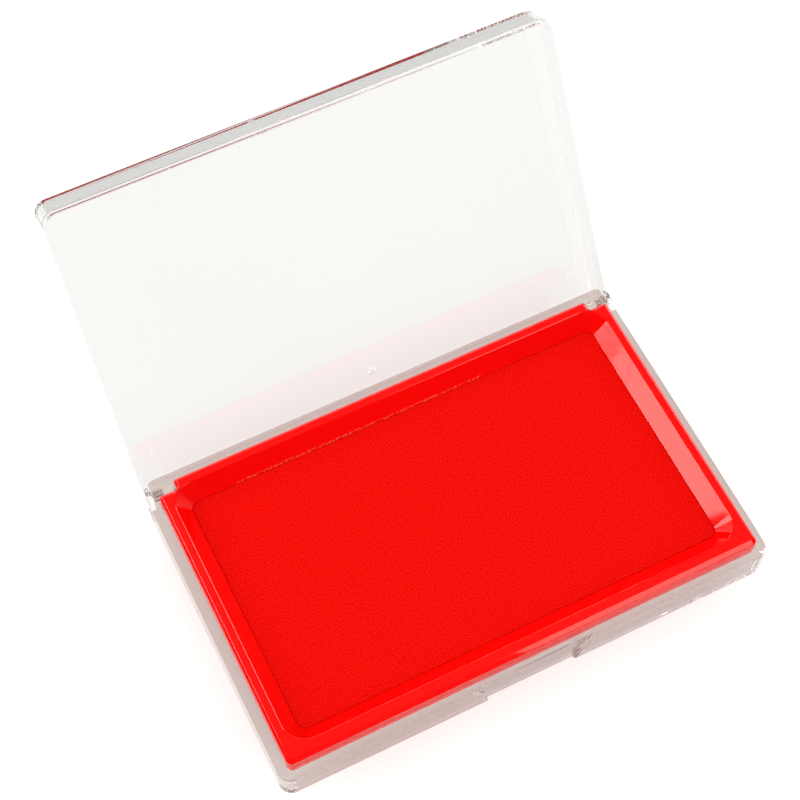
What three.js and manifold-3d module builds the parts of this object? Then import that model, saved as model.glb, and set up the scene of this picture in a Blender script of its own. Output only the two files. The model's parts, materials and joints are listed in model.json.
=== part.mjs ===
// Ink pad in a clear hinged case, lid open. Millimetres, +Z up, +X to the right, front towards -Y.
// The origin is the centre of the case's underside.
import * as THREE from 'three';
import { mergeVertices } from 'three/addons/utils/BufferGeometryUtils.js';
import Module from 'manifold-3d';

const wasm = await Module();
wasm.setup();

// ---- driving dimensions ----
const gap = 0.3; // running gap between neighbouring pieces
const arcSteps = 8; // straight steps in each rounded corner

const caseWidth = 138;
const caseDepth = 88;
const closedHeight = 20.2;
const cornerRadius = 3.5;

const ledgeHeight = 11; // top of the front and side walls, where the lid closes
const backWallHeight = 13.3;
const floorThickness = 1.6;
const sideWall = 2.5;
const frontWall = 2.45;
const backWall = 2.5;

const lidWall = 1.5;
const lidPlate = 1.5;
const lidBackRim = 16.3; // lower edge of the lid's back wall when closed; it meets the case when fully open
const lidBackCorner = 1;

const hingeY = 40.7;
const hingeZ = 10.1;
const openAngle = 122; // degrees from closed to resting on the stop
const earRadius = 3.2;
const pinRadius = 1.4;
const socketRadius = 1.5;
const pinReach = 2.8; // how far a pin stands in from its ear

const cutFrontY = 36.9; // the side walls are cut back behind this line for the ears
const cutFloorZ = 3.6;
const blockInnerX = 61.5;
const blockFrontY = 38.8;
const blockCorner = 0.8;

const recessTop = 35.2; // thumb recess in the front wall
const recessBottom = 24.8;
const recessDeep = 1;

const rimHeight = 15.2; // top of the insert
const rimHalfWidth = 66.2;
const rimFront = -41.25;
const rimBack = 41.2;
const rimCorner = 1.6;
const rimBevel = 0.6;
const skirtBottom = 9.3;
const skirtWall = 1.4;
const trayWall = 1.5;
const notchX = blockInnerX - 0.5; // the insert's back corners are notched round the hinge blocks
const notchY = blockFrontY - 0.5;

const padHalfWidth = 59.5; // the well at the level of the pad
const padFront = -33.6;
const padBack = 34.5;
const padCorner = 2.4;
const padHeight = 11;
const slopeRun = 4.1; // the well's walls slope outwards from the pad to the rim
const clothThickness = 0.5;

// ---- sizes worked out from them ----
const halfWidth = caseWidth / 2;
const halfDepth = caseDepth / 2;
const lidInnerX = halfWidth - lidWall;
const blockOuterX = lidInnerX - gap;
const trayFloor = floorThickness + gap;
const wellFloor = trayFloor + trayWall;
const clothTop = padHeight;
const foamTop = clothTop - clothThickness - gap;
const above = 40; // reach of a cutter beyond what it cuts

// ---- materials ----
const clearPlastic = new THREE.MeshStandardMaterial({
  color: 0xe9eae7, roughness: 0.06, metalness: 0, transparent: true, opacity: 0.3,
});
const redPlastic = new THREE.MeshStandardMaterial({ color: 0xf50f06, roughness: 0.22, metalness: 0 });
const inkedCloth = new THREE.MeshStandardMaterial({ color: 0xe6150c, roughness: 0.85, metalness: 0 });
const inkedFoam = new THREE.MeshStandardMaterial({ color: 0xa8140f, roughness: 0.95, metalness: 0 });

// ---- outlines ----
// A closed outline of square corners, each given as [x, y, radius], anticlockwise.
function roundedOutline(corners) {
  const shape = new THREE.Shape();
  corners.forEach(([x, y, radius], i) => {
    const [beforeX, beforeY] = corners[(i + corners.length - 1) % corners.length];
    const [afterX, afterY] = corners[(i + 1) % corners.length];
    const arriving = new THREE.Vector2(x - beforeX, y - beforeY).normalize();
    const leaving = new THREE.Vector2(afterX - x, afterY - y).normalize();
    const centre = new THREE.Vector2(x, y).addScaledVector(arriving, -radius).addScaledVector(leaving, radius);
    const start = Math.atan2(-leaving.y, -leaving.x);
    const end = Math.atan2(arriving.y, arriving.x);
    const clockwise = arriving.cross(leaving) < 0;
    shape.absarc(centre.x, centre.y, radius, start, end, clockwise);
  });
  return shape;
}

function rectangle(left, front, right, back, frontRadius, backRadius = frontRadius) {
  return roundedOutline([
    [left, front, frontRadius],
    [right, front, frontRadius],
    [right, back, backRadius],
    [left, back, backRadius],
  ]);
}

// The insert's outline, notched at its back corners; inset draws it smaller all round.
function rimOutline(inset) {
  const x = rimHalfWidth - inset;
  const notch = notchX - inset;
  const back = rimBack - inset;
  const step = notchY - inset;
  return roundedOutline([
    [-x, rimFront + inset, rimCorner],
    [x, rimFront + inset, rimCorner],
    [x, step, blockCorner],
    [notch, step, blockCorner],
    [notch, back, blockCorner],
    [-notch, back, blockCorner],
    [-notch, step, blockCorner],
    [-x, step, blockCorner],
  ]);
}

function padOutline(inset) {
  return rectangle(-padHalfWidth + inset, padFront + inset, padHalfWidth - inset, padBack - inset, padCorner - inset);
}

// ---- solids ----
function solid(geometry) {
  geometry.deleteAttribute('normal');
  geometry.deleteAttribute('uv');
  const merged = mergeVertices(geometry);
  return new wasm.Manifold(new wasm.Mesh({
    numProp: 3,
    vertProperties: new Float32Array(merged.attributes.position.array),
    triVerts: new Uint32Array(merged.index.array),
  }));
}

function prism(shape, bottom, top) {
  const geometry = new THREE.ExtrudeGeometry(shape, {
    depth: top - bottom, bevelEnabled: false, curveSegments: arcSteps,
  });
  return solid(geometry.translate(0, 0, bottom));
}

function block(left, front, bottom, right, back, top) {
  const geometry = new THREE.BoxGeometry(right - left, back - front, top - bottom);
  return solid(geometry.translate((left + right) / 2, (front + back) / 2, (bottom + top) / 2));
}

// A round bar along X, centred on the hinge axis.
function hingeBar(radius, fromX, toX, sides) {
  const geometry = new THREE.CylinderGeometry(radius, radius, Math.abs(toX - fromX), sides);
  geometry.rotateZ(Math.PI / 2);
  return solid(geometry.translate((fromX + toX) / 2, hingeY, hingeZ));
}

// The pad's outline grown by offset, then sloping outwards by slopeRun up to the rim's level and beyond.
function funnel(offset, slopeBottom, top) {
  const rise = rimHeight - padHeight;
  const geometry = new THREE.ExtrudeGeometry(padOutline(0), {
    depth: above,
    bevelThickness: rise,
    bevelSize: slopeRun,
    bevelOffset: offset,
    bevelSegments: 1,
    curveSegments: arcSteps,
  });
  const sloped = solid(geometry.translate(0, 0, slopeBottom + rise));
  return sloped.intersect(block(-above * 2, -above * 2, slopeBottom - 1, above * 2, above * 2, top));
}

function named(name, body, material) {
  const data = body.getMesh();
  const geometry = new THREE.BufferGeometry();
  geometry.setAttribute('position', new THREE.BufferAttribute(new Float32Array(data.vertProperties), 3));
  geometry.setIndex(new THREE.BufferAttribute(new Uint32Array(data.triVerts), 1));
  geometry.computeVertexNormals();
  const mesh = new THREE.Mesh(geometry, material);
  mesh.name = name;
  return mesh;
}

// ---- the clear lower case ----
function thumbRecess() {
  const shape = new THREE.Shape();
  shape.moveTo(-recessBottom / 2, -1);
  shape.lineTo(recessBottom / 2, -1);
  shape.lineTo(recessBottom / 2, 0);
  shape.quadraticCurveTo(recessBottom / 2 + 0.8, ledgeHeight * 0.7, recessTop / 2, ledgeHeight);
  shape.lineTo(recessTop / 2, ledgeHeight + 1);
  shape.lineTo(-recessTop / 2, ledgeHeight + 1);
  shape.lineTo(-recessTop / 2, ledgeHeight);
  shape.quadraticCurveTo(-recessBottom / 2 - 0.8, ledgeHeight * 0.7, -recessBottom / 2, 0);
  const geometry = new THREE.ExtrudeGeometry(shape, { depth: 2, bevelEnabled: false, curveSegments: arcSteps });
  geometry.rotateX(Math.PI / 2);
  return solid(geometry.translate(0, -halfDepth + recessDeep, 0));
}

// The space inside the walls, stepped round the two hinge blocks.
function caseInside() {
  const x = halfWidth - sideWall;
  const front = -halfDepth + frontWall;
  const back = halfDepth - backWall;
  return roundedOutline([
    [-x, front, 1.8],
    [x, front, 1.8],
    [x, blockFrontY, blockCorner],
    [blockInnerX, blockFrontY, blockCorner],
    [blockInnerX, back, blockCorner],
    [-blockInnerX, back, blockCorner],
    [-blockInnerX, blockFrontY, blockCorner],
    [-x, blockFrontY, blockCorner],
  ]);
}

function baseCase() {
  const footprint = rectangle(-halfWidth, -halfDepth, halfWidth, halfDepth, cornerRadius);
  let body = prism(footprint, 0, backWallHeight).subtract(prism(caseInside(), floorThickness, above));
  body = body.subtract(block(-above * 2, -above * 2, ledgeHeight, above * 2, blockFrontY, above));
  for (const side of [-1, 1]) {
    const edges = [side * blockOuterX, side * (halfWidth + 1)].sort((a, b) => a - b);
    body = body.subtract(block(edges[0], cutFrontY, cutFloorZ, edges[1], halfDepth + 1, above));
    body = body.subtract(
      hingeBar(socketRadius, side * (blockOuterX + 1), side * (lidInnerX - pinReach - gap), 32),
    );
  }
  return named('base_case', body.subtract(thumbRecess()), clearPlastic);
}

// ---- the clear lid, drawn closed ----
function lidEar(side) {
  const edges = [side * lidInnerX, side * halfWidth].sort((a, b) => a - b);
  const disc = hingeBar(earRadius, edges[0], edges[1], 40);
  const web = block(edges[0], hingeY - earRadius, hingeZ, edges[1], hingeY + earRadius, ledgeHeight + 2);
  const pin = hingeBar(pinRadius, side * (lidInnerX + 0.5), side * (lidInnerX - pinReach), 32);
  return disc.add(web).add(pin);
}

function lid() {
  const rim = ledgeHeight + gap;
  const outline = rectangle(-halfWidth, -halfDepth, halfWidth, halfDepth, cornerRadius, lidBackCorner);
  const inner = rectangle(
    -lidInnerX, -halfDepth + lidWall, lidInnerX, halfDepth - lidWall, cornerRadius - lidWall, 0.2,
  );
  let body = prism(outline, rim, closedHeight).subtract(prism(inner, rim - 1, closedHeight - lidPlate));
  body = body.subtract(block(-lidInnerX, halfDepth - 2 * lidWall, rim - 1, lidInnerX, halfDepth + 1, lidBackRim));
  body = body.add(lidEar(-1)).add(lidEar(1));
  return named('lid', body, clearPlastic);
}

// ---- the red insert that holds the pad ----
function inkTray() {
  const rimBlock = new THREE.ExtrudeGeometry(rimOutline(0), {
    depth: rimHeight - 2 * rimBevel,
    bevelThickness: rimBevel,
    bevelSize: rimBevel,
    bevelOffset: -rimBevel,
    bevelSegments: 1,
    curveSegments: arcSteps,
  });
  const rim = solid(rimBlock.translate(0, 0, rimBevel))
    .intersect(block(-above * 2, -above * 2, skirtBottom, above * 2, above * 2, rimHeight));
  const underRim = prism(rimOutline(skirtWall), skirtBottom - 1, rimHeight - trayWall);
  const outerSlope = funnel(trayWall, padHeight - trayWall, rimHeight - trayWall / 2);
  const outerWell = prism(padOutline(-trayWall), trayFloor, padHeight);
  const innerSlope = funnel(0, padHeight, above);
  const innerWell = prism(padOutline(0), wellFloor, padHeight + 1);
  const shell = rim.subtract(underRim).add(outerSlope).add(outerWell);
  return named('ink_tray', shell.subtract(innerSlope).subtract(innerWell), redPlastic);
}

// ---- the pad: a foam block and the cloth that covers its top and sides ----
function foamCore() {
  return named('foam_core', prism(padOutline(2 * gap + clothThickness), wellFloor + gap, foamTop), inkedFoam);
}

function inkCloth() {
  const cover = prism(padOutline(gap), wellFloor + gap, clothTop);
  const inside = prism(padOutline(gap + clothThickness), 0, clothTop - clothThickness);
  return named('ink_cloth', cover.subtract(inside), inkedCloth);
}

// ---- assembly ----
const inkPad = new THREE.Group();
inkPad.add(baseCase(), inkTray(), foamCore(), inkCloth());

const lidOnHinge = new THREE.Group();
const lidMesh = lid();
lidMesh.position.set(0, -hingeY, -hingeZ);
lidOnHinge.add(lidMesh);
lidOnHinge.position.set(0, hingeY, hingeZ);
lidOnHinge.rotation.x = THREE.MathUtils.degToRad(-openAngle);
inkPad.add(lidOnHinge);

export default inkPad;
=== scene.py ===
"""Ink pad in a clear hinged case, lid open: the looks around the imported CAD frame.

Metres, +Z up, front towards -Y. Outlines run anticlockwise seen from above, and the lid is drawn closed.
"""

import json
import math

import bmesh
import bpy
from mathutils import Euler, Matrix, Vector


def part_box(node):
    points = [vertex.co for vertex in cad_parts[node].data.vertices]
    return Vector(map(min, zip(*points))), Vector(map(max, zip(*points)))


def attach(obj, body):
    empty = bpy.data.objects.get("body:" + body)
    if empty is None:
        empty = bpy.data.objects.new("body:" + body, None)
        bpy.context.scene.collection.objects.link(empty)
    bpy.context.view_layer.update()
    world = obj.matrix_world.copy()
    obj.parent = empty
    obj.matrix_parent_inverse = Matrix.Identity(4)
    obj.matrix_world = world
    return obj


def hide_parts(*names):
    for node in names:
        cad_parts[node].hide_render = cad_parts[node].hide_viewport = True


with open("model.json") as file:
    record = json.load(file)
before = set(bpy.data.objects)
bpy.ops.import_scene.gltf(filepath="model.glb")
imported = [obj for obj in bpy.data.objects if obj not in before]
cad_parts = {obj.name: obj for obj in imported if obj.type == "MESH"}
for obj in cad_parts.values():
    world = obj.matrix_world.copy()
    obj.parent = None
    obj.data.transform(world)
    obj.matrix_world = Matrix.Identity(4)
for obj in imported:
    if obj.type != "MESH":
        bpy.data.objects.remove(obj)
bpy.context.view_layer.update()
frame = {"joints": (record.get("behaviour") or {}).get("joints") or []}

MM = 0.001
SCENE = bpy.context.scene

# ---- camera: the photograph's viewing angle ----
CAMERA_PLACE = Vector((-104.99, -170.65, 452.64)) * MM
CAMERA_TURN = (28.002, -0.507, -26.470)
CAMERA_LENS = 84.11
CAMERA_SENSOR = 36


def make_camera():
    data = bpy.data.cameras.new("camera")
    data.lens = CAMERA_LENS
    data.sensor_width = CAMERA_SENSOR
    camera = bpy.data.objects.new("camera", data)
    camera.location = CAMERA_PLACE
    camera.rotation_euler = Euler([math.radians(a) for a in CAMERA_TURN])
    SCENE.collection.objects.link(camera)
    SCENE.camera = camera


make_camera()

# ---- places taken from the frame ----
_, case_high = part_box("base_case")
tray_low, tray_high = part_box("ink_tray")
cloth_low, cloth_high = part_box("ink_cloth")
foam_low, foam_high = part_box("foam_core")
hinge = frame["joints"][0]
hinge_y, hinge_z = hinge["pos_m"][1], hinge["pos_m"][2]
open_angle = math.radians(-hinge["range_deg"][0])

HALF_WIDTH = case_high.x
HALF_DEPTH = case_high.y
BACK_WALL_TOP = case_high.z
RIM_TOP = tray_high.z
RIM_HALF_WIDTH = tray_high.x
RIM_FRONT = tray_low.y
RIM_BACK = tray_high.y
PAD_TOP = cloth_high.z

# ---- sizes shared by several pieces ----
GAP = 0.3 * MM
LEDGE = 11 * MM  # where the lid's rim meets the case
CORNER = 3.5 * MM
LID_WALL = 1.5 * MM
LID_TOP = 20.2 * MM
LID_INNER_X = HALF_WIDTH - LID_WALL
BLOCK_OUTER_X = LID_INNER_X - GAP
BLOCK_INNER_X = 61.5 * MM
BLOCK_FRONT_Y = 38.8 * MM
PIN_REACH = 2.8 * MM
WELL_SIDE = 59.5 * MM
WELL_FRONT = -33.6 * MM
WELL_BACK = 34.5 * MM
WELL_CORNER = 2.4 * MM
OUTSIDE = HALF_WIDTH + 5 * MM  # clear of the case on every side
ABOVE_CASE = BACK_WALL_TOP + MM

# ---- smoothness of curves ----
ARC_STEPS = 16
EDGE_STEPS = 4
BEND_STEPS = 6
SLANT_STEPS = 12
BAR_SIDES = 64
DIMPLE_SIDES = 32
BEVEL_SEGMENTS = 3
SHARP = math.radians(32)
WELD = 0.02 * MM


# ---- outlines ----
def quarter_turn(steps=EDGE_STEPS):
    """The sine and cosine at even steps through a quarter turn, both ends included."""
    pairs = []
    for k in range(steps + 1):
        turn = k / steps * math.pi / 2
        pairs.append((math.sin(turn), math.cos(turn)))
    return pairs


def full_turn(steps):
    """The sine and cosine at even steps round a whole turn."""
    pairs = []
    for k in range(steps):
        turn = k / steps * 2 * math.pi
        pairs.append((math.sin(turn), math.cos(turn)))
    return pairs


def rounded(corners):
    """Points of a closed outline of square corners, each (x, y, radius)."""
    points = []
    for i, (x, y, radius) in enumerate(corners):
        before = Vector(corners[i - 1][:2])
        after = Vector(corners[(i + 1) % len(corners)][:2])
        here = Vector((x, y))
        arriving = (here - before).normalized()
        leaving = (after - here).normalized()
        centre = here - arriving * radius + leaving * radius
        for sine, cosine in quarter_turn(ARC_STEPS):
            points.append(centre - leaving * radius * cosine + arriving * radius * sine)
    return points


def rectangle(left, front, right, back, front_radius, back_radius):
    return rounded([
        (left, front, front_radius),
        (right, front, front_radius),
        (right, back, back_radius),
        (left, back, back_radius),
    ])


def well_outline(grow):
    """The insert's well at the pad, grown outwards."""
    radius = WELL_CORNER + grow
    return rectangle(
        -WELL_SIDE - grow, WELL_FRONT - grow, WELL_SIDE + grow, WELL_BACK + grow, radius, radius,
    )


# ---- meshes ----
def as_object(name, mesh):
    data = bpy.data.meshes.new(name)
    mesh.to_mesh(data)
    mesh.free()
    made = bpy.data.objects.new(name, data)
    SCENE.collection.objects.link(made)
    return made


def finished(name, mesh):
    """Turns the faces outwards and makes the object."""
    bmesh.ops.recalc_face_normals(mesh, faces=mesh.faces)
    return as_object(name, mesh)


def wrap(mesh, rows):
    """Joins each row of vertices to the next with quads."""
    for lower, upper in zip(rows, rows[1:]):
        for i in range(len(lower)):
            mesh.faces.new((lower[i - 1], lower[i], upper[i], upper[i - 1]))


def add_chain(mesh, rings):
    """Joins rings of equal point counts, each (outline, height), and returns each ring's vertices."""
    rows = [[mesh.verts.new((p.x, p.y, z)) for p in outline] for outline, z in rings]
    wrap(mesh, rows)
    return rows


def loft(name, rings):
    """A closed body through rings of equal point counts, capped at both ends."""
    mesh = bmesh.new()
    rows = add_chain(mesh, rings)
    mesh.faces.new(list(reversed(rows[0])))
    mesh.faces.new(rows[-1])
    return finished(name, mesh)


def prism(outline, bottom, top):
    return loft("tool", [(outline, bottom), (outline, top)])


def block(left, front, bottom, right, back, top):
    corners = [Vector((left, front)), Vector((right, front)), Vector((right, back)), Vector((left, back))]
    return prism(corners, bottom, top)


def hinge_bar(radius, from_x, to_x, edge=0.0):
    """A round bar along X, centred on the hinge axis, with its two end edges rounded by edge."""
    start, end = sorted((from_x, to_x))
    stations = [(0.0, radius)]
    if edge:
        stations = [(edge * (1 - cosine), radius - edge * (1 - sine)) for sine, cosine in quarter_turn()]
    rings = [(start + inset, ring) for inset, ring in stations]
    rings += [(end - inset, ring) for inset, ring in reversed(stations)]
    mesh = bmesh.new()
    rows = []
    for x, ring in rings:
        row = []
        for sine, cosine in full_turn(BAR_SIDES):
            row.append(mesh.verts.new((x, hinge_y + ring * cosine, hinge_z + ring * sine)))
        rows.append(row)
    wrap(mesh, rows)
    mesh.faces.new(rows[0])
    mesh.faces.new(list(reversed(rows[-1])))
    return finished("tool", mesh)


def bake(piece):
    """Applies the piece's modifiers to its mesh."""
    graph = bpy.context.evaluated_depsgraph_get()
    result = bpy.data.meshes.new_from_object(piece.evaluated_get(graph), depsgraph=graph)
    piece.modifiers.clear()
    piece.data = result
    result.name = piece.name


def combine(piece, tool, operation):
    """Joins the tool to the piece or cuts it away, and removes the tool."""
    modifier = piece.modifiers.new("boolean", "BOOLEAN")
    modifier.operation = operation
    modifier.solver = "EXACT"
    modifier.object = tool
    bake(piece)
    bpy.data.objects.remove(tool)


def join(piece, tool):
    combine(piece, tool, "UNION")


def cut(piece, tool):
    combine(piece, tool, "DIFFERENCE")


HINGE_ZONE_Y = 36.0 * MM
HINGE_ZONE_X = 60.5 * MM
HINGE_ZONE_TOP = 17.5 * MM


def by_the_hinge(point):
    """Whether a point of a closed piece is among the small shapes at the hinge."""
    return point.y > HINGE_ZONE_Y and abs(point.x) > HINGE_ZONE_X and point.z < HINGE_ZONE_TOP


def soften(piece, width):
    """Rounds the sharp edges, apart from those among the small shapes at the hinge."""
    mesh = bmesh.new()
    mesh.from_mesh(piece.data)
    bmesh.ops.remove_doubles(mesh, verts=mesh.verts, dist=WELD)
    sharp = []
    for edge in mesh.edges:
        if len(edge.link_faces) != 2 or edge.calc_face_angle() < SHARP:
            continue
        if not any(by_the_hinge(vertex.co) for vertex in edge.verts):
            sharp.append(edge)
    bmesh.ops.bevel(
        mesh, geom=sharp, offset=width, offset_type="OFFSET", segments=BEVEL_SEGMENTS, profile=0.5,
        affect="EDGES", clamp_overlap=False,
    )
    mesh.to_mesh(piece.data)
    mesh.free()


# ---- the clear lower case ----
CASE_FLOOR = 1.6 * MM
SIDE_WALL = 2.5 * MM
FRONT_WALL = 2.45 * MM
FOOT_ROUND = 0.8 * MM
SHARPEST_CORNER = 0.3 * MM
INSIDE_FRONT_CORNER = 1.8 * MM
INSIDE_BACK_CORNER = 0.8 * MM
EAR_ROOM_FRONT = 36.9 * MM
EAR_ROOM_BOTTOM = 3.6 * MM
SOCKET_RADIUS = 1.5 * MM
POCKET_X = (63.0 * MM, 66.2 * MM)
POCKET_Y = (39.9 * MM, 42.9 * MM)
POCKET_DEPTH = 0.5 * MM
RECESS_FOOT_X = 12.4 * MM
RECESS_TOP_X = 17.6 * MM
RECESS_DEPTH = 1.0 * MM
RECESS_CURVE = 1.7
CASE_EDGE = 0.4 * MM


def case_outline(inset):
    radius = max(CORNER - inset, SHARPEST_CORNER)
    return rectangle(
        -HALF_WIDTH + inset, -HALF_DEPTH + inset, HALF_WIDTH - inset, HALF_DEPTH - inset, radius, radius,
    )


def case_inside():
    """The hollow of the case, which steps inwards round the two hinge blocks."""
    x = HALF_WIDTH - SIDE_WALL
    front = -HALF_DEPTH + FRONT_WALL
    back = HALF_DEPTH - SIDE_WALL
    return rounded([
        (-x, front, INSIDE_FRONT_CORNER),
        (x, front, INSIDE_FRONT_CORNER),
        (x, BLOCK_FRONT_Y, INSIDE_BACK_CORNER),
        (BLOCK_INNER_X, BLOCK_FRONT_Y, INSIDE_BACK_CORNER),
        (BLOCK_INNER_X, back, INSIDE_BACK_CORNER),
        (-BLOCK_INNER_X, back, INSIDE_BACK_CORNER),
        (-BLOCK_INNER_X, BLOCK_FRONT_Y, INSIDE_BACK_CORNER),
        (-x, BLOCK_FRONT_Y, INSIDE_BACK_CORNER),
    ])


def ear_room(side):
    """The back corner outside a hinge block, where the lid's ear turns."""
    near, far = sorted((side * BLOCK_OUTER_X, side * OUTSIDE))
    return block(near, EAR_ROOM_FRONT, EAR_ROOM_BOTTOM, far, HALF_DEPTH + MM, ABOVE_CASE)


def socket(side):
    return hinge_bar(SOCKET_RADIUS, side * (BLOCK_OUTER_X + MM), side * (LID_INNER_X - PIN_REACH - GAP))


def block_pocket(side):
    """The shallow pocket in the top of a hinge block."""
    left, right = sorted((side * POCKET_X[0], side * POCKET_X[1]))
    return block(left, POCKET_Y[0], BACK_WALL_TOP - POCKET_DEPTH, right, POCKET_Y[1], ABOVE_CASE)


def thumb_recess():
    """The shallow recess in the front wall, whose ends slant outwards in a curve."""
    slant = []
    for k in range(SLANT_STEPS + 1):
        t = k / SLANT_STEPS
        slant.append((RECESS_FOOT_X + (RECESS_TOP_X - RECESS_FOOT_X) * t ** RECESS_CURVE, LEDGE * t))
    right = [(RECESS_FOOT_X, -MM)] + slant + [(RECESS_TOP_X, LEDGE + MM)]
    left = [(-x, z) for x, z in reversed(right)]
    mesh = bmesh.new()
    rows = []
    for y in (-HALF_DEPTH - MM, -HALF_DEPTH + RECESS_DEPTH):
        rows.append([mesh.verts.new((x, y, z)) for x, z in right + left])
    wrap(mesh, rows)
    mesh.faces.new(rows[0])
    mesh.faces.new(list(reversed(rows[1])))
    return finished("tool", mesh)


def make_case():
    rings = []
    for sine, cosine in quarter_turn():
        rings.append((case_outline(FOOT_ROUND * (1 - sine)), FOOT_ROUND * (1 - cosine)))
    rings.append((case_outline(0), BACK_WALL_TOP))
    piece = loft("clear_case", rings)
    cut(piece, prism(case_inside(), CASE_FLOOR, ABOVE_CASE))
    cut(piece, block(-OUTSIDE, -OUTSIDE, LEDGE, OUTSIDE, BLOCK_FRONT_Y, ABOVE_CASE))
    for side in (-1, 1):
        cut(piece, ear_room(side))
        cut(piece, socket(side))
        cut(piece, block_pocket(side))
    cut(piece, thumb_recess())
    soften(piece, CASE_EDGE)
    return piece


# ---- the clear lid, drawn closed and then turned open ----
LID_BACK_RIM = 16.3 * MM
LID_BACK_CORNER = 1.0 * MM
LID_INNER_BACK_CORNER = 0.4 * MM
LID_TOP_ROUND = 0.7 * MM
LID_EDGE = 0.2 * MM
EAR_RADIUS = 3.2 * MM
EAR_EDGE = 0.3 * MM
EAR_INSET = 0.03 * MM  # keeps the ear's flat ends off the wall's two faces
PIN_RADIUS = 1.4 * MM
PIN_ROOT = 0.5 * MM
PIN_EDGE = 0.2 * MM
GATE_PLACE = Vector((1.0, 37.0)) * MM
GATE_STEPS = ((0.55 * MM, 0.4 * MM), (0.95 * MM, 0.3 * MM), (1.05 * MM, -0.2 * MM))  # radius, depth


def lid_outline(inset):
    return rectangle(
        -HALF_WIDTH + inset, -HALF_DEPTH + inset, HALF_WIDTH - inset, HALF_DEPTH - inset,
        CORNER - inset, LID_BACK_CORNER - inset * 0.5,
    )


def gate_mark():
    """The shallow round dimple where the plastic entered the mould."""
    rings = []
    for radius, depth in GATE_STEPS:
        circle = [GATE_PLACE + Vector((cosine, sine)) * radius for sine, cosine in full_turn(DIMPLE_SIDES)]
        rings.append((circle, LID_TOP - depth))
    return loft("tool", rings)


def ear(side):
    return hinge_bar(EAR_RADIUS, side * (LID_INNER_X + EAR_INSET), side * (HALF_WIDTH - EAR_INSET), EAR_EDGE)


def pin(side):
    return hinge_bar(PIN_RADIUS, side * (LID_INNER_X + PIN_ROOT), side * (LID_INNER_X - PIN_REACH), PIN_EDGE)


def turn_open(piece):
    axis = Matrix.Translation((0, hinge_y, hinge_z))
    piece.data.transform(axis @ Matrix.Rotation(-open_angle, 4, "X") @ axis.inverted())


def make_lid():
    rings = [(lid_outline(0), LEDGE + GAP)]
    for sine, cosine in quarter_turn():
        rings.append((lid_outline(LID_TOP_ROUND * (1 - cosine)), LID_TOP - LID_TOP_ROUND * (1 - sine)))
    piece = loft("clear_lid", rings)
    inner_y = HALF_DEPTH - LID_WALL
    inner = rectangle(
        -LID_INNER_X, -inner_y, LID_INNER_X, inner_y, CORNER - LID_WALL, LID_INNER_BACK_CORNER,
    )
    cut(piece, prism(inner, 0, LID_TOP - LID_WALL))
    cut(piece, block(-LID_INNER_X, inner_y - LID_WALL, 0, LID_INNER_X, HALF_DEPTH + MM, LID_BACK_RIM))
    cut(piece, gate_mark())
    soften(piece, LID_EDGE)
    for side in (-1, 1):
        join(piece, ear(side))
        join(piece, pin(side))
    turn_open(piece)
    return piece


# ---- the red insert that holds the pad ----
TRAY_WALL = 1.5 * MM
SLOPE_RUN = 4.1 * MM
WELL_FLOOR = 3.4 * MM
FLOOR_ROUND = 0.4 * MM
SKIRT_BOTTOM = 9.3 * MM
SKIRT_WALL = 1.4 * MM
SKIRT_EDGE = 0.2 * MM
FRONT_RUN = 2.0  # the rim's front leans this many times as far as its sides
NOTCH_GAP = 0.5 * MM
RIM_CORNER = 1.6 * MM
RIM_SHARPEST = 0.2 * MM
NOTCH_CORNER = 0.8 * MM
NOTCH_SHARPEST = 0.15 * MM
CHAMFER_DROP = 0.9 * MM
CHAMFER_RUN = 0.8 * MM
SHOULDER_BEND = 0.15 * MM
RIDGE_BEND = 0.3 * MM
LIP_BEND = 0.45 * MM
PAD_LIP = 0.06 * MM  # the small step at the foot of the slopes
PAD_LIP_DEPTH = 0.1 * MM


def rim_outline(inset):
    """The insert's outside, with its two back corners notched round the hinge blocks."""
    x = RIM_HALF_WIDTH - inset
    notch = BLOCK_INNER_X - NOTCH_GAP - inset
    back = RIM_BACK - inset
    step = BLOCK_FRONT_Y - NOTCH_GAP - inset
    front = RIM_FRONT + inset * FRONT_RUN
    corner = max(RIM_CORNER - inset, RIM_SHARPEST)
    convex = max(NOTCH_CORNER - inset, NOTCH_SHARPEST)
    concave = NOTCH_CORNER + inset
    return rounded([
        (-x, front, corner),
        (x, front, corner),
        (x, step, convex),
        (notch, step, concave),
        (notch, back, convex),
        (-notch, back, convex),
        (-notch, step, concave),
        (-x, step, convex),
    ])


def bend(before, corner, after, reach):
    """Points of a soft bend at a profile's corner, starting and ending at reach from it."""
    before, corner, after = Vector(before), Vector(corner), Vector(after)
    start = corner + (before - corner).normalized() * reach
    end = corner + (after - corner).normalized() * reach
    points = []
    for k in range(BEND_STEPS + 1):
        t = k / BEND_STEPS
        points.append(tuple(start * (1 - t) ** 2 + corner * 2 * t * (1 - t) + end * t ** 2))
    return points


def fill_between(mesh, outer, inner):
    """Fills the flat face between two loops of vertices at one height."""
    edges = []
    for loop in (outer, inner):
        for i in range(len(loop)):
            edges.append(mesh.edges.get((loop[i - 1], loop[i])))
    bmesh.ops.triangle_fill(mesh, use_beauty=True, use_dissolve=False, edges=edges, normal=(0, 0, 1))


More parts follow.
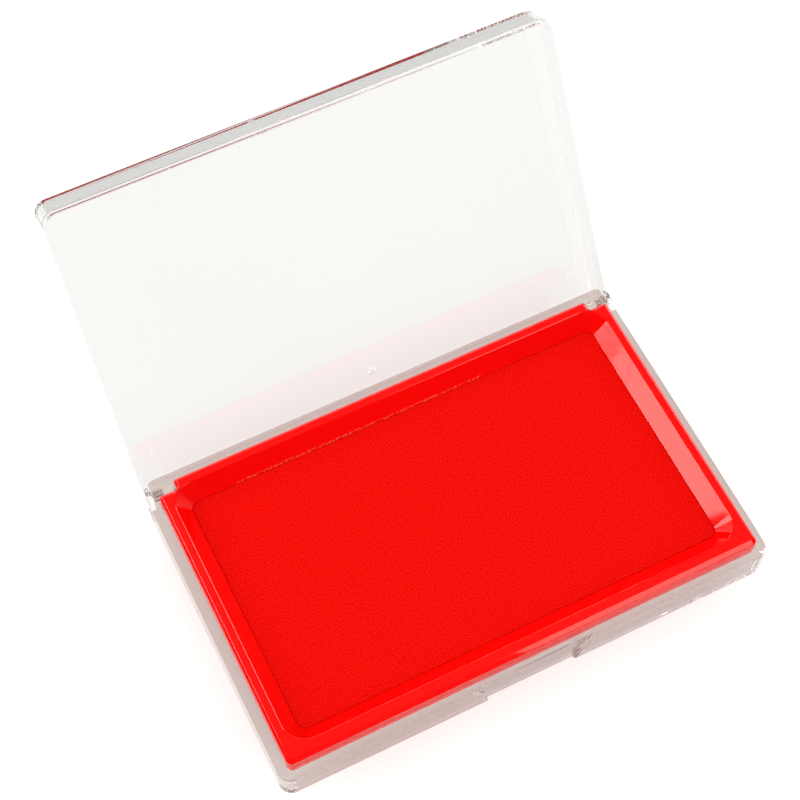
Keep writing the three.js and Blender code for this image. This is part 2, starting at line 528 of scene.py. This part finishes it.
def tray_profiles():
    """The insert's section in three runs of (distance, height).

    The first goes up its outside, from inside the skirt to the rim's ridge. The second goes down the slope
    into the well, and the third down the underside.
    """
    under = RIM_TOP - TRAY_WALL
    skirt_foot = (0, SKIRT_BOTTOM + SKIRT_EDGE)
    shoulder = (0, RIM_TOP - CHAMFER_DROP)
    ridge = (CHAMFER_RUN, RIM_TOP)
    lip = (SLOPE_RUN, RIM_TOP)
    pad_edge = (0, PAD_TOP)
    outside = [
        (SKIRT_WALL, under), (SKIRT_WALL, SKIRT_BOTTOM + SKIRT_EDGE),
        (SKIRT_WALL - SKIRT_EDGE, SKIRT_BOTTOM), (SKIRT_EDGE, SKIRT_BOTTOM), skirt_foot,
    ]
    outside += bend(skirt_foot, shoulder, ridge, SHOULDER_BEND)
    outside += bend(shoulder, ridge, lip, RIDGE_BEND)
    inside = bend((SLOPE_RUN * 2, RIM_TOP), lip, pad_edge, LIP_BEND)
    inside += [
        (PAD_LIP, PAD_TOP + PAD_LIP), (0, PAD_TOP - PAD_LIP_DEPTH),
        (0, WELL_FLOOR + FLOOR_ROUND), (-FLOOR_ROUND, WELL_FLOOR),
    ]
    below = [
        (SLOPE_RUN + TRAY_WALL, under), (TRAY_WALL, PAD_TOP - TRAY_WALL),
        (TRAY_WALL, tray_low.z + FLOOR_ROUND), (TRAY_WALL - FLOOR_ROUND, tray_low.z),
    ]
    return outside, inside, below


def make_tray():
    outside, inside, below = tray_profiles()
    mesh = bmesh.new()
    rim = add_chain(mesh, [(rim_outline(inset), z) for inset, z in outside])
    well = add_chain(mesh, [(well_outline(grow), z) for grow, z in inside])
    underside = add_chain(mesh, [(well_outline(grow), z) for grow, z in below])
    fill_between(mesh, rim[-1], well[0])
    fill_between(mesh, rim[0], underside[0])
    mesh.faces.new(well[-1])
    mesh.faces.new(underside[-1])
    piece = finished("red_tray", mesh)
    piece.data.shade_smooth()
    piece.modifiers.new("weighted", "WEIGHTED_NORMAL")
    bake(piece)
    return piece


# ---- the pad ----
CLOTH_THICKNESS = 0.35 * MM
CLOTH_EDGE = 0.2 * MM
CLOTH_GROW = -0.04 * MM
FOAM_GROW = -1.1 * MM
FOAM_EDGE = 0.6 * MM


def make_cloth():
    rings = [(well_outline(CLOTH_GROW), cloth_low.z)]
    for sine, cosine in quarter_turn():
        outline = well_outline(CLOTH_GROW - CLOTH_EDGE * (1 - cosine))
        rings.append((outline, PAD_TOP - CLOTH_EDGE * (1 - sine)))
    mesh = bmesh.new()
    rows = add_chain(mesh, rings)
    mesh.faces.new(rows[-1])
    piece = finished("pad_cloth", mesh)
    piece.data.shade_smooth()
    thick = piece.modifiers.new("thickness", "SOLIDIFY")
    thick.thickness = CLOTH_THICKNESS
    thick.offset = -1
    bake(piece)
    return piece


def make_foam():
    low, high = foam_low.z, foam_high.z
    rings = []
    for sine, cosine in quarter_turn():
        rings.append((well_outline(FOAM_GROW - FOAM_EDGE * (1 - sine)), low + FOAM_EDGE * (1 - cosine)))
    for sine, cosine in quarter_turn():
        rings.append((well_outline(FOAM_GROW - FOAM_EDGE * (1 - cosine)), high - FOAM_EDGE * (1 - sine)))
    piece = loft("pad_foam", rings)
    piece.data.shade_smooth()
    return piece


# ---- material tools ----
def new_material(name):
    material = bpy.data.materials.new(name)
    material.use_nodes = True
    tree = material.node_tree
    return material, tree, tree.nodes["Principled BSDF"]


def own_place(tree):
    """Coordinates in metres that stay with the piece."""
    return tree.nodes.new("ShaderNodeTexCoord").outputs["Object"]


def noise(tree, scale, detail):
    node = tree.nodes.new("ShaderNodeTexNoise")
    node.inputs["Scale"].default_value = scale
    node.inputs["Detail"].default_value = detail
    tree.links.new(own_place(tree), node.inputs["Vector"])
    return node.outputs["Fac"]


def ramp(tree, source, low, high, low_at=0.3, high_at=0.7):
    """Maps a pattern's low_at..high_at to low..high."""
    node = tree.nodes.new("ShaderNodeMapRange")
    node.inputs["From Min"].default_value = low_at
    node.inputs["From Max"].default_value = high_at
    node.inputs["To Min"].default_value = low
    node.inputs["To Max"].default_value = high
    tree.links.new(source, node.inputs["Value"])
    return node.outputs["Result"]


def colour_ramp(tree, source, dark, light, low_at=0.3, high_at=0.7):
    """Maps a pattern's low_at..high_at to dark..light."""
    node = tree.nodes.new("ShaderNodeValToRGB")
    node.color_ramp.elements[0].position = low_at
    node.color_ramp.elements[0].color = (*dark, 1)
    node.color_ramp.elements[1].position = high_at
    node.color_ramp.elements[1].color = (*light, 1)
    tree.links.new(source, node.inputs["Fac"])
    return node.outputs["Color"]


def bump(tree, shader, height, distance):
    node = tree.nodes.new("ShaderNodeBump")
    node.inputs["Distance"].default_value = distance
    tree.links.new(height, node.inputs["Height"])
    tree.links.new(node.outputs["Normal"], shader.inputs["Normal"])


def band(tree, axis, low, high):
    """1 where the piece's coordinate lies between low and high, 0 elsewhere."""
    split = tree.nodes.new("ShaderNodeSeparateXYZ")
    tree.links.new(own_place(tree), split.inputs["Vector"])
    inside = tree.nodes.new("ShaderNodeMath")
    inside.operation = "COMPARE"
    inside.inputs[1].default_value = (low + high) / 2
    inside.inputs[2].default_value = (high - low) / 2
    tree.links.new(split.outputs[axis], inside.inputs[0])
    return inside.outputs["Value"]


def multiply(tree, first, second):
    node = tree.nodes.new("ShaderNodeMath")
    node.operation = "MULTIPLY"
    tree.links.new(first, node.inputs[0])
    tree.links.new(second, node.inputs[1])
    return node.outputs["Value"]


# ---- materials ----
CLEAR_INDEX = 1.59  # polystyrene
RED_INDEX = 1.5
# the case's colour: partly the plastic's own warm tint, mostly painted shade from under the case and painted
# pink light from the red insert
CASE_TINT_AND_PAINTED_SHADE = (0.64, 0.575, 0.55)
LID_TINT = (0.83, 0.835, 0.84)
BEAD_AND_GLINT_COLOUR = (0.80, 0.07, 0.05, 1)
# the ink beads' colour: real beads of ink, painted paler than the plastic as a painted highlight on them
BEADS_FROM = -46 * MM
BEADS_TO = 26 * MM
BEADS_DEEP = 0.4 * MM
MIX_COLOUR_A = 6  # a Mix node's colour sockets share their names with its others
MIX_COLOUR_B = 7
MIX_COLOUR_RESULT = 2


def clear_plastic(name, tint_and_shade):
    """Clear plastic with faint handling marks in its gloss. Its base colour tints what is seen through it;
    for the case that colour also holds painted shade and painted pink light from the red insert.
    """
    material, tree, shader = new_material(name)
    shader.inputs["Base Color"].default_value = (*tint_and_shade, 1)
    shader.inputs["Transmission Weight"].default_value = 1
    shader.inputs["IOR"].default_value = CLEAR_INDEX
    tree.links.new(ramp(tree, noise(tree, 60, 4), 0.0, 0.012), shader.inputs["Roughness"])
    return material


def ink_beads_and_glints(tree):
    """1 on the beads of ink along the foot of the back slope, which are painted pale as a painted highlight,
    0 elsewhere.
    """
    along = band(tree, "X", BEADS_FROM, BEADS_TO)
    across = band(tree, "Y", WELL_BACK, WELL_BACK + BEADS_DEEP)
    drops = ramp(tree, noise(tree, 1500, 2), 0.0, 1.0, 0.47, 0.6)
    return multiply(tree, multiply(tree, along, across), drops)


def red_plastic():
    """Glossy red plastic, slightly clouded and smudged, with beads of ink that are painted pale as a painted
    highlight on them.
    """
    material, tree, shader = new_material("red_plastic")
    plain = colour_ramp(tree, noise(tree, 40, 3), (0.79, 0.0008, 0.0003), (0.83, 0.0012, 0.0005))
    # painted highlight: the ink beads are mixed in paler than the red plastic
    beads_and_glints = tree.nodes.new("ShaderNodeMix")
    beads_and_glints.data_type = "RGBA"
    beads_and_glints.inputs[MIX_COLOUR_B].default_value = BEAD_AND_GLINT_COLOUR
    tree.links.new(ink_beads_and_glints(tree), beads_and_glints.inputs["Factor"])
    tree.links.new(plain, beads_and_glints.inputs[MIX_COLOUR_A])
    tree.links.new(beads_and_glints.outputs[MIX_COLOUR_RESULT], shader.inputs["Base Color"])
    tree.links.new(ramp(tree, noise(tree, 120, 4), 0.02, 0.07), shader.inputs["Roughness"])
    shader.inputs["IOR"].default_value = RED_INDEX
    bump(tree, shader, noise(tree, 90, 1), 0.02 * MM)
    return material


def inked_cloth():
    """Fine-grained cloth soaked with red ink."""
    material, tree, shader = new_material("inked_cloth")
    speckle = noise(tree, 3000, 1)
    colour = colour_ramp(tree, speckle, (0.54, 0.0003, 0.0001), (0.84, 0.006, 0.003), 0.38, 0.66)
    tree.links.new(colour, shader.inputs["Base Color"])
    shader.inputs["Roughness"].default_value = 0.6
    shader.inputs["Specular IOR Level"].default_value = 0.02
    bump(tree, shader, speckle, 0.12 * MM)
    return material


def inked_foam():
    """Open-cell foam soaked with red ink."""
    material, tree, shader = new_material("inked_foam")
    cells = tree.nodes.new("ShaderNodeTexVoronoi")
    cells.inputs["Scale"].default_value = 1800
    tree.links.new(own_place(tree), cells.inputs["Vector"])
    walls = cells.outputs["Distance"]
    colour = colour_ramp(tree, walls, (0.16, 0.004, 0.003), (0.5, 0.02, 0.012), 0.0, 0.6)
    tree.links.new(colour, shader.inputs["Base Color"])
    shader.inputs["Roughness"].default_value = 0.8
    bump(tree, shader, walls, 0.3 * MM)
    return material


def floor_material():
    """Pale matt floor that glows a little, so that it stays white beside the red insert."""
    material, tree, shader = new_material("pale_floor")
    colour = colour_ramp(tree, noise(tree, 8, 2), (0.43, 0.43, 0.43), (0.45, 0.45, 0.45))
    tree.links.new(colour, shader.inputs["Base Color"])
    shader.inputs["Emission Color"].default_value = (1, 1, 1, 1)
    shader.inputs["Emission Strength"].default_value = 0.55
    shader.inputs["Roughness"].default_value = 0.9
    shader.inputs["Specular IOR Level"].default_value = 0.1
    return material


# ---- assembly ----
def place_piece(piece, material, body, node):
    piece.data.materials.clear()
    piece.data.materials.append(material)
    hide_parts(node)
    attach(piece, body)


case = make_case()
lid = make_lid()
tray = make_tray()
cloth = make_cloth()
foam = make_foam()
# the case's colour carries painted shade and painted pink light from the red insert
place_piece(case, clear_plastic("clear_case_plastic_painted_shade", CASE_TINT_AND_PAINTED_SHADE), "base", "base_case")
place_piece(lid, clear_plastic("clear_lid_plastic", LID_TINT), "lid", "lid")
place_piece(tray, red_plastic(), "base", "ink_tray")
place_piece(cloth, inked_cloth(), "base", "ink_cloth")
place_piece(foam, inked_foam(), "base", "foam_core")
for glassy in (case, lid):
    glassy.visible_shadow = False
    glassy.visible_diffuse = False


# ---- studio ----
FLOOR_REACH = 0.5
FLOOR_DROP = 0.1 * MM  # keeps the floor off the case's flat underside
WORLD_TINT = (1, 0.985, 0.94, 1)
WORLD_LIGHT = 1.2
LIGHT_FROM_SIDES = 0.45
LIGHT_FROM_ABOVE = 1.35
LAMP_COLOUR = (1, 0.97, 0.88)
BOUNCES = 96  # light runs a long way inside the clear walls
GLOW_STOPS = ((0.0, 0.02), (0.05, 0.4), (0.18, 0.4), (0.3, 0.02), (0.55, 0.02), (0.9, 0.2))  # height, level


def make_floor():
    mesh = bmesh.new()
    bmesh.ops.create_grid(mesh, x_segments=1, y_segments=1, size=FLOOR_REACH)
    floor = as_object("floor", mesh)
    floor.location.z = -FLOOR_DROP
    floor.data.materials.append(floor_material())


def softbox(name, towards, distance, width, height, power):
    """An area lamp standing in that direction from the pad, facing it."""
    data = bpy.data.lights.new(name, "AREA")
    data.shape = "RECTANGLE"
    data.size = width
    data.size_y = height
    data.energy = power
    data.color = LAMP_COLOUR
    lamp = bpy.data.objects.new(name, data)
    direction = Vector(towards).normalized()
    lamp.location = direction * distance
    lamp.rotation_euler = direction.to_track_quat("Z", "Y").to_euler()
    SCENE.collection.objects.link(lamp)


def choose(tree, factor, value):
    """A mix that gives value where factor is 1, and its input A where factor is 0."""
    blend = tree.nodes.new("ShaderNodeMix")
    tree.links.new(factor, blend.inputs["Factor"])
    tree.links.new(value, blend.inputs["B"])
    return blend


def reflected_glow(tree, height):
    """The brightness that reflections see: low glow at the horizon, dark above it, soft glow overhead."""
    node = tree.nodes.new("ShaderNodeValToRGB")
    points = node.color_ramp.elements
    while len(points) < len(GLOW_STOPS):
        points.new(0.5)
    for point, (position, level) in zip(points, GLOW_STOPS):
        point.position = position
        point.color = (level, level, level, 1)
    tree.links.new(height, node.inputs["Fac"])
    return node.outputs["Color"]


def make_world():
    """A white room that lights more from above, and that reflections see as dim with two soft glows."""
    world = bpy.data.worlds.new("studio")
    world.use_nodes = True
    tree = world.node_tree
    background = tree.nodes["Background"]
    background.inputs["Color"].default_value = WORLD_TINT
    direction = tree.nodes.new("ShaderNodeTexCoord")
    split = tree.nodes.new("ShaderNodeSeparateXYZ")
    tree.links.new(direction.outputs["Generated"], split.inputs["Vector"])
    height = split.outputs["Z"]
    rays = tree.nodes.new("ShaderNodeLightPath")
    shading = ramp(tree, height, LIGHT_FROM_SIDES, LIGHT_FROM_ABOVE, 0.0, 0.7)
    lighting = choose(tree, rays.outputs["Is Diffuse Ray"], shading)
    lighting.inputs["A"].default_value = WORLD_LIGHT
    mirrored = multiply(tree, rays.outputs["Is Glossy Ray"], rays.outputs["Is Reflection Ray"])
    shown = choose(tree, mirrored, reflected_glow(tree, height))
    tree.links.new(lighting.outputs["Result"], shown.inputs["A"])
    tree.links.new(shown.outputs["Result"], background.inputs["Strength"])
    SCENE.world = world


def set_look():
    SCENE.view_settings.view_transform = "Standard"
    SCENE.cycles.max_bounces = BOUNCES
    SCENE.cycles.transmission_bounces = BOUNCES
    SCENE.cycles.glossy_bounces = BOUNCES


make_floor()
make_world()
softbox("left_softbox", towards=(-0.80, 0.42, 0.42), distance=1.3, width=0.456, height=0.6, power=4.2)
softbox("front_light", towards=(0.36, -0.68, 0.66), distance=1.4, width=0.35, height=0.5, power=1.6)
softbox("right_light", towards=(0.80, 0.36, 0.40), distance=1.4, width=0.3, height=0.6, power=2.2)
set_look()
